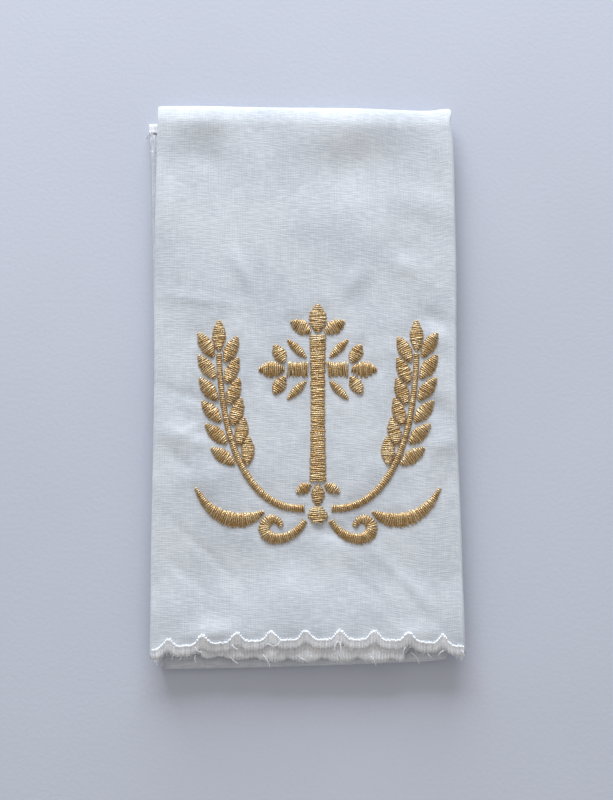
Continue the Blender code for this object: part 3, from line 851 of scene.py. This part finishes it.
    def lay_flat(self, made, lines):
        """The UV map: where each point lies on the flat cloth, in centimetres."""
        width = FREE_WIDTH - self.room
        pairs = zip(self.columns, self.columns[1:])
        steps = [(b.u - a.u, b.level - a.level, b.out - a.out) for a, b in pairs]
        lengths = [math.hypot(du * width + out, rise * self.room) for du, rise, out in steps]
        across = np.concatenate(([0.0], np.cumsum(lengths)))
        stretches = np.linalg.norm(np.diff(lines, axis=1), axis=2)
        along = np.concatenate((np.zeros((len(lines), 1)), np.cumsum(stretches, axis=1)), axis=1)
        along += FAR_CUSPS - lines[:, :1, 1]
        flat = np.stack((np.broadcast_to(across[:, None], along.shape), along), axis=2)
        flat = flat.reshape(-1, 2) / MM_IN_CM
        corners = np.empty(len(made.data.loops), dtype=np.int32)
        made.data.loops.foreach_get("vertex_index", corners)
        made.data.uv_layers.new(name="flat").data.foreach_set("uv", flat[corners].ravel())


class Stitching:
    """Copies of one thread, bent along the path of each stitch, and the padding under them, as one mesh."""

    def __init__(self):
        self.thread_points, self.thread_faces, self.thread_around = straight_thread()
        self.points, self.faces, self.tints, self.uvs = [], [], [], []
        self.count = 0

    def add(self, points, faces, tint, uvs):
        self.points.append(points)
        self.faces += [tuple(k + self.count for k in face) for face in faces]
        self.tints += [tint] * len(points)
        self.uvs += uvs
        self.count += len(points)

    def stitch(self, path, side, radius, tint):
        """path has a point for each ring of the thread. side is a unit vector square to the path."""
        path = np.asarray(path, float)
        ways = np.gradient(path, axis=0)
        ways /= np.linalg.norm(ways, axis=1)[:, None]
        side = np.asarray(side, float)
        ups = np.cross(ways, side)
        ups /= np.linalg.norm(ups, axis=1)[:, None]
        sides = np.cross(ups, ways)
        ring = np.rint(self.thread_points[:, 2] * (THREAD_RINGS - 1)).astype(int)
        across, up = self.thread_points[:, 0:1] * radius, self.thread_points[:, 1:2] * radius
        points = path[ring] + sides[ring] * across + ups[ring] * up
        runs = np.concatenate(([0.0], np.cumsum(np.linalg.norm(np.diff(path, axis=0), axis=1))))
        uvs = [
            (around, runs[ring[k]]) for face, turn in zip(self.thread_faces, self.thread_around)
            for k, around in zip(face, turn)
        ]
        self.add(points, self.thread_faces, tint, uvs)

    def pad(self, loops, tint):
        """A closed solid through loops of points."""
        size = len(loops[0])
        faces = []
        for i in range(len(loops) - 1):
            for j in range(size):
                a, b = i * size + j, i * size + (j + 1) % size
                faces.append((a, a + size, b + size, b))
        faces += [tuple(range(size)), tuple((len(loops) - 1) * size + k for k in reversed(range(size)))]
        uvs = [(0.0, 0.0)] * sum(len(face) for face in faces)
        self.add(np.array([p for loop in loops for p in loop]), faces, tint, uvs)

    def make(self, name, material):
        made = make_object(name, np.concatenate(self.points), self.faces, material)
        made.data.attributes.new("tint", "FLOAT", "POINT").data.foreach_set("value", self.tints)
        made.data.uv_layers.new(name="thread").data.foreach_set("uv", [c for uv in self.uvs for c in uv])
        return made


def straight_thread():
    """A straight thread along Z, 1 long and 1 in radius: points, faces and each corner's turn round it."""
    bpy.ops.object.select_all(action="DESELECT")
    bpy.ops.mesh.primitive_cylinder_add(
        vertices=THREAD_SIDES, radius=1, depth=1, location=(0, 0, 0), end_fill_type="TRIFAN"
    )
    thread = bpy.context.object
    bpy.ops.object.mode_set(mode="EDIT")
    bpy.ops.mesh.select_mode(type="EDGE")
    bpy.ops.mesh.select_all(action="DESELECT")
    work = bmesh.from_edit_mesh(thread.data)
    for edge in work.edges:
        edge.select = abs(edge.verts[0].co.z - edge.verts[1].co.z) > 0.5
    bmesh.update_edit_mesh(thread.data)
    bpy.ops.mesh.subdivide(number_cuts=THREAD_RINGS - 2)
    bpy.ops.object.mode_set(mode="OBJECT")
    points = np.array([v.co for v in thread.data.vertices])
    points[:, 2] += 0.5
    faces = [tuple(face.vertices) for face in thread.data.polygons]
    turns = np.arctan2(points[:, 1], points[:, 0]) / math.tau % 1.0
    around = []
    for face in faces:
        own = [turns[k] for k in face]
        wraps = max(own) - min(own) > 0.5
        around.append([t + 1 if wraps and t < 0.5 else t for t in own])
    bpy.data.objects.remove(thread, do_unlink=True)
    return points, faces, around


def ground_of(piece):
    """Gives the height of a piece's top at a place, in millimetres."""
    tree = BVHTree.FromPolygons(
        [v.co for v in piece.data.vertices], [list(p.vertices) for p in piece.data.polygons]
    )

    def ground(x, y):
        hit = tree.ray_cast(Vector((x, y, 50)) * MM, Vector((0, 0, -1)))[0]
        if hit is None:
            raise RuntimeError(f"no cloth at {x:.1f}, {y:.1f}")
        return hit.z / MM

    return ground


def along_route(route, halves, pitch):
    """The middles of the stitches along a route: place, way and half width of each."""
    runs = [0.0]
    for a, b in zip(route, route[1:]):
        runs.append(runs[-1] + (b - a).length)
    count = max(3, round(runs[-1] / pitch))
    last = len(route) - 1
    ways = [(route[min(k + 1, last)] - route[max(k - 1, 0)]).normalized() for k in range(last + 1)]
    places = []
    for k in range(count):
        run = runs[-1] * (k + 0.5) / count
        at = next(i for i in range(last) if run <= runs[i + 1])
        t = (run - runs[at]) / (runs[at + 1] - runs[at])
        way = ways[at].lerp(ways[at + 1], t).normalized()
        places.append((route[at].lerp(route[at + 1], t), way, between(halves[at], halves[at + 1], t)))
    return places


def satin_column(work, ground, column, pitch, chance):
    """Stitches side by side across a column's route, over padding that rises in the middle."""
    loops = []
    radius = pitch * GOLD_RADIUS
    for k, (place, way, half) in enumerate(along_route(column.route, column.halves, pitch)):
        x, y = MOTIF_X + place.x, MOTIF_Y + place.y
        side = Vector((-way.y, way.x))
        crown = STITCH_RISE * min(1.0, THINNEST_RISE + (1 - THINNEST_RISE) * 2 * half / FULL_WIDTH)
        crown = (crown - radius) * chance.uniform(*RISE_JITTER)
        slant = chance.uniform(*SLANT_JITTER) * half
        wide = half * chance.uniform(*WIDTH_JITTER)
        path = []
        for a in np.linspace(-1, 1, THREAD_RINGS):
            t = math.sin(a * math.pi / 2)
            px = x + side.x * t * wide + way.x * t * slant
            py = y + side.y * t * wide + way.y * t * slant
            rise = math.cos(a * math.pi / 2) ** CROWN_POWER
            path.append((px, py, ground(px, py) + crown * rise - STITCH_SINK * (1 - rise)))
        work.stitch(path, (way.x, way.y, 0), radius * chance.uniform(*GOLD_RADIUS_JITTER), chance.random())
        if k % GOLD_PAD_EVERY == 0:
            loops.append(padding_loop(ground, x, y, side, half, crown))
    if len(loops) > 1:
        work.pad(loops, GOLD_PAD_SHADE)


def padding_loop(ground, x, y, side, half, crown):
    loop = []
    for t, rise in GOLD_PADDING:
        px, py = x + side.x * t * half, y + side.y * t * half
        loop.append((px, py, ground(px, py) + crown * PADDING_SHARE * rise))
    return loop


def edging_lines(name, u):
    """y of the inner and outer line of a row of edging."""
    if name == "lower":
        return band("free", u, "outer") + UNDER_TUCK, under_line(u)
    end = "far" if name == "far" else "free"
    return band(end, u, "inner"), band(end, u, "outer")


def edging_stitches(work, name, layer, face, span, crest, pitch, chance):
    """Close stitches over a scalloped end, from the inner line over the ridge and round the cloth's edge."""
    count = round(FREE_WIDTH * (span[1] - span[0]) / pitch)
    loops = []
    radius = pitch * WHITE_RADIUS
    for k in range(count):
        u = between(span[0], span[1], (k + 0.5) / count)
        inner, outer = edging_lines(name, u)
        lean = chance.uniform(*LEAN_JITTER)
        height = (crest - radius) * chance.uniform(*RISE_JITTER)
        start, end = chance.uniform(*START_JITTER), chance.uniform(*END_JITTER)

        def spot(share, shift, aside, rise):
            y = inner + (outer - inner) * (share + shift)
            x = layer_x(layer, u, y) + aside
            return x, y, face(x, y, u) + rise

        path = [spot(t, between(start, end, t), lean * (t - 0.5), rise * height) for t, rise in EDGING_PROFILE]
        path += [spot(t, end, lean * (t - 0.5), rise) for t, rise in UNDER_TURN]
        work.stitch(path, (1, 0, 0), radius * chance.uniform(*WHITE_RADIUS_JITTER), chance.random())
        if k % WHITE_PAD_EVERY == 0:
            loops.append([spot(t, 0.0, 0.0, rise * crest) for t, rise in EDGING_PADDING])
    work.pad(loops, WHITE_PAD_SHADE)


def tone(name, description, default):
    return bpy.props.FloatVectorProperty(
        name=name, description=description, default=default, size=3, min=0.0, max=1.0, subtype="COLOR"
    )


def length(name, description, default):
    return bpy.props.FloatProperty(
        name=name, description=description, default=default, min=0.0, precision=5, unit="LENGTH"
    )


def number(name, description, default, top=2.0):
    return bpy.props.FloatProperty(name=name, description=description, default=default, min=0.0, max=top)


def angle(name, description, degrees):
    return bpy.props.FloatProperty(
        name=name, description=description, default=math.radians(degrees), subtype="ANGLE", unit="ROTATION"
    )


class LinenSettings(bpy.types.PropertyGroup):
    """Sizes and colours of the linen"""

    ply: length("Ply", "Thickness of one ply of the linen", 0.36 * MM)
    flat_width: length("Flat width", "Width of the cloth before it was folded", 0.25)
    flat_length: length("Flat length", "Length of the cloth before it was folded", 0.46)
    creases: number("Creases", "Height of the creases, as a share of the drawn one", 1.3)
    thread: length("Thread pitch", "From one thread of the weave to the next", 0.46 * MM)
    weave_depth: length("Weave depth", "Depth of the weave and its slubs", 0.058 * MM)
    # The colour between threads is the linen's darker tone together with painted shade in the weave's grooves
    color: tone("Linen", "Colour of the raised threads", (0.755, 0.785, 0.83))
    shade_color: tone("Linen between threads", "Colour between the threads", (0.505, 0.545, 0.605))


class EdgingSettings(bpy.types.PropertyGroup):
    """Sizes and colours of the white edging"""

    pitch: length("Stitch pitch", "From one stitch of the edging to the next", 0.4 * MM)
    # The bright colour is the stitches' light tone and their painted glints; the dark one is their dark tone
    # and painted shade
    color: tone("White thread", "Colour of the edging's thread", (0.98, 0.985, 1.0))
    shade_color: tone("White thread in shade", "Colour of its darker stitches", (0.83, 0.85, 0.89))


class GoldSettings(bpy.types.PropertyGroup):
    """Sizes and colours of the gold embroidery"""

    pitch: length("Stitch pitch", "From one gold stitch to the next", 0.54 * MM)
    # The bright colour is the stitches' light tone and their painted glints; the dark one is their dark tone
    # and painted shade
    color: tone("Gold thread", "Colour of the bright stitches", (0.765, 0.615, 0.385))
    shade_color: tone("Gold thread in shade", "Colour of the dark stitches", (0.5, 0.31, 0.125))


class StageSettings(bpy.types.PropertyGroup):
    """Floor, lights and camera"""

    elevation: angle("Camera elevation", "Angle of the camera above the floor", 81.0)
    distance: length("Camera distance", "From the camera to the place it looks at", 0.43)
    lens: number("Lens", "Focal length in mm", 70.4, 500.0)
    floor_color: tone("Floor", "Colour of the floor", (0.6, 0.632, 0.73))
    key_power: number("Key light", "Power of the key light in watts", 18.0, 500.0)
    top_power: number("Top light", "Power of the light from above in watts", 0.4, 500.0)
    fill: number("Fill light", "Strength of the light from all round", 0.43, 5.0)


def settings_of(context):
    return context.scene.purificator


class PurificatorSettings(bpy.types.PropertyGroup):
    """All settings of the purificator"""

    linen: bpy.props.PointerProperty(type=LinenSettings)
    edging: bpy.props.PointerProperty(type=EdgingSettings)
    gold: bpy.props.PointerProperty(type=GoldSettings)
    stage: bpy.props.PointerProperty(type=StageSettings)


def finished(name):
    piece = bpy.data.objects.get(name)
    if piece is None:
        raise RuntimeError(f"{name} has to be made first")
    return piece


def white_thread(settings):
    name = "white_cotton_thread"
    if name in bpy.data.materials:
        return bpy.data.materials[name]
    # sparkle: the share of the colour given to painted glints
    look = {"twist": 0.7, "depth": 0.00003, "sparkle": 0.3, "roughness": 0.42, "specular_ior_level": 0.5}
    finish, _ = thread_finish(name, settings.shade_color, settings.color, **look)
    return finish.material


def gold_thread(settings):
    name = "spun_gold_thread"
    if name in bpy.data.materials:
        return bpy.data.materials[name]
    # sparkle: the share of the colour given to painted glints
    look = {"twist": 0.45, "depth": 0.00006, "sparkle": 0.5, "metallic": 0.85, "roughness": 0.3}
    finish, facets_and_painted_glint = thread_finish(name, settings.shade_color, settings.color, **look)
    finish.put(finish.shader.inputs["Roughness"], 0.56 - facets_and_painted_glint * 0.2)
    return finish.material


class PURIFICATOR_OT_linen(bpy.types.Operator):
    """Fold the linen sheet and press its creases"""

    bl_idname = "purificator.linen"
    bl_label = "Linen sheet"

    def execute(self, context):
        settings = settings_of(context).linen
        sheet = Linen(settings.ply / MM, settings.creases).build("linen_sheet", linen_finish(settings))
        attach(sheet, "root")
        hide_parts("linen_cloth")
        return {"FINISHED"}


class PURIFICATOR_OT_edging(bpy.types.Operator):
    """Stitch the white edging over the scalloped ends"""

    bl_idname = "purificator.edging"
    bl_label = "Satin edging"

    def execute(self, context):
        settings = settings_of(context).edging
        ply = settings_of(context).linen.ply / MM
        sheet = Linen(ply, settings_of(context).linen.creases)
        pitch = settings.pitch / MM
        shown = [u for u in np.linspace(0, 1, 400) if under_reach(u) > UNDER_SHOWN]

        def face(layer, level):
            return lambda x, y, u: sheet.z(layer, Column(u, level, 0.0), x, y) + ply / 2

        rows = (
            ("upper", "top", 1.0, (0.004, 0.996), 0.76),
            ("lower", "top", 0.5, (shown[0], shown[-1]), 0.7),
            ("far", "bottom", 1.0, (-0.008, 0.996), 0.5),
        )
        for name, layer, level, span, crest in rows:
            work = Stitching()
            chance = random.Random(f"edging {name}")
            edging_stitches(work, name, layer, face(layer, level), span, crest, pitch, chance)
            made = work.make(f"edging_{name}_stitches", white_thread(settings))
            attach(made, "root")
            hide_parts(f"edging_{name}")
        return {"FINISHED"}


class PURIFICATOR_OT_loose_ends(bpy.types.Operator):
    """Lay the loose thread ends along the edging"""

    bl_idname = "purificator.loose_ends"
    bl_label = "Loose thread ends"

    def execute(self, context):
        work = Stitching()
        chance = random.Random("loose ends")
        for x, y, tip_x, tip_y, aside, tip_z in LOOSE_ENDS:
            start = Vector((x, y, tip_z + LOOSE_RISE))
            tip = Vector((tip_x, tip_y, tip_z))
            way = (tip - start).normalized()
            side = way.cross(Vector((0, 0, 1))).normalized()
            path = []
            for t in np.linspace(0, 1, THREAD_RINGS):
                swing = math.sin(math.pi * t)
                arch = Vector((0, 0, LOOSE_ARCH * swing))
                path.append(start.lerp(tip, t) + side * (aside * swing) + arch)
            radius = LOOSE_THICKNESS / 2 * chance.uniform(*LOOSE_JITTER)
            work.stitch(path, side.cross(way), radius, chance.random())
        linen = settings_of(context).linen
        sheet = Linen(linen.ply / MM, linen.creases)
        for _ in range(FUZZ_COUNT):
            u = chance.uniform(*FUZZ_U)
            y = band("free", u, "outer") + chance.uniform(*FUZZ_IN)
            x = layer_x("top", u, y)
            start = Vector((x, y, sheet.z("top", Column(u, 1.0, 0.0), x, y) + chance.uniform(*FUZZ_UP)))
            a = chance.uniform(*FUZZ_HEADING)
            way = Vector((math.cos(a), math.sin(a), chance.uniform(*FUZZ_TILT))).normalized()
            side = way.cross(Vector((0, 0, 1))).normalized()
            long, bend = chance.uniform(*FUZZ_LENGTH), chance.uniform(*FUZZ_BEND)
            path = [start + way * (long * t) + side * (bend * t * t) for t in np.linspace(0, 1, THREAD_RINGS)]
            work.stitch(path, side.cross(way), FUZZ_THICKNESS / 2, chance.uniform(*FUZZ_TINT))
        made = work.make("loose_ends", white_thread(settings_of(context).edging))
        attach(made, "root")
        return {"FINISHED"}


def embroider(context, name, columns):
    settings = settings_of(context).gold
    work = Stitching()
    ground = ground_of(finished("linen_sheet"))
    chance = random.Random(name)
    for column in columns:
        satin_column(work, ground, column, settings.pitch / MM, chance)
    made = work.make(name, gold_thread(settings))
    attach(made, "root")
    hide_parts(*[column.node for column in columns])


class PURIFICATOR_OT_cross(bpy.types.Operator):
    """Stitch the gold cross with its buds and rays"""

    bl_idname = "purificator.cross"
    bl_label = "Gold cross"

    def execute(self, context):
        embroider(context, "gold_cross", cross_columns())
        return {"FINISHED"}


class PURIFICATOR_OT_ears(bpy.types.Operator):
    """Stitch the two ears of wheat"""

    bl_idname = "purificator.ears"
    bl_label = "Ears of wheat"

    def execute(self, context):
        for side, way in SIDES:
            embroider(context, f"gold_ear_{side}", ear_columns(side, way))
        return {"FINISHED"}


class PURIFICATOR_OT_spray(bpy.types.Operator):
    """Stitch the leaves, the curls and the knot that ties the ears"""

    bl_idname = "purificator.spray"
    bl_label = "Leaves and knot"

    def execute(self, context):
        embroider(context, "gold_spray", spray_columns())
        return {"FINISHED"}


class PURIFICATOR_OT_stage(bpy.types.Operator):
    """Lay the floor, hang the lights and set up the camera"""

    bl_idname = "purificator.stage"
    bl_label = "Floor, lights and camera"

    def execute(self, context):
        settings = settings_of(context).stage
        bpy.ops.object.select_all(action="DESELECT")
        bpy.ops.mesh.primitive_plane_add(size=FLOOR_SIZE, location=(0, 0, 0))
        floor = context.object
        floor.name = "floor"
        floor.data.materials.append(floor_finish(settings))

        back = Vector((0, -math.cos(settings.elevation), math.sin(settings.elevation)))
        camera = bpy.data.objects.new("camera", bpy.data.cameras.new("camera"))
        camera.data.sensor_width = SENSOR_WIDTH
        camera.data.lens = settings.lens
        camera.data.clip_start = CLIP_START
        camera.location = AIM + back * settings.distance
        camera.rotation_euler = (-back).to_track_quat("-Z", "Y").to_euler()
        context.scene.collection.objects.link(camera)
        context.scene.camera = camera

        for lamp in LAMPS:
            light = bpy.data.lights.new(lamp.name, "AREA")
            light.shape = "RECTANGLE"
            light.size, light.size_y = lamp.size
            light.energy, light.color = getattr(settings, lamp.power), lamp.color
            hung = bpy.data.objects.new(lamp.name, light)
            hung.location = lamp.place
            hung.rotation_euler = (AIM - hung.location).to_track_quat("-Z", "Y").to_euler()
            context.scene.collection.objects.link(hung)

        world = bpy.data.worlds.new("studio")
        world.use_nodes = True
        sky = world.node_tree.nodes["Background"]
        sky.inputs["Color"].default_value = SKY_COLOR
        sky.inputs["Strength"].default_value = settings.fill
        context.scene.world = world
        context.scene.view_settings.view_transform = "Standard"
        return {"FINISHED"}


STEPS = (
    PURIFICATOR_OT_stage,
    PURIFICATOR_OT_linen,
    PURIFICATOR_OT_edging,
    PURIFICATOR_OT_loose_ends,
    PURIFICATOR_OT_cross,
    PURIFICATOR_OT_ears,
    PURIFICATOR_OT_spray,
)


class PURIFICATOR_PT_panel(bpy.types.Panel):
    """The purificator's sizes, colours and steps"""

    bl_idname = "PURIFICATOR_PT_panel"
    bl_label = "Purificator"
    bl_space_type = "VIEW_3D"
    bl_region_type = "UI"
    bl_category = "Purificator"

    def draw(self, context):
        for title in ("linen", "edging", "gold", "stage"):
            box = self.layout.box()
            box.label(text=title.capitalize())
            group = getattr(settings_of(context), title)
            for name in group.__annotations__:
                box.prop(group, name)
        for step in STEPS:
            self.layout.operator(step.bl_idname)


CLASSES = (
    LinenSettings,
    EdgingSettings,
    GoldSettings,
    StageSettings,
    PurificatorSettings,
    *STEPS,
    PURIFICATOR_PT_panel,
)


def register():
    for each in CLASSES:
        bpy.utils.register_class(each)
    bpy.types.Scene.purificator = bpy.props.PointerProperty(type=PurificatorSettings)


def unregister():
    del bpy.types.Scene.purificator
    for each in reversed(CLASSES):
        bpy.utils.unregister_class(each)


def corners(box):
    return [list(corner) for corner in box]


def main():
    register()
    for step in STEPS:
        group, name = step.bl_idname.split(".")
        getattr(getattr(bpy.ops, group), name)()


if __name__ == "__main__":
    main()
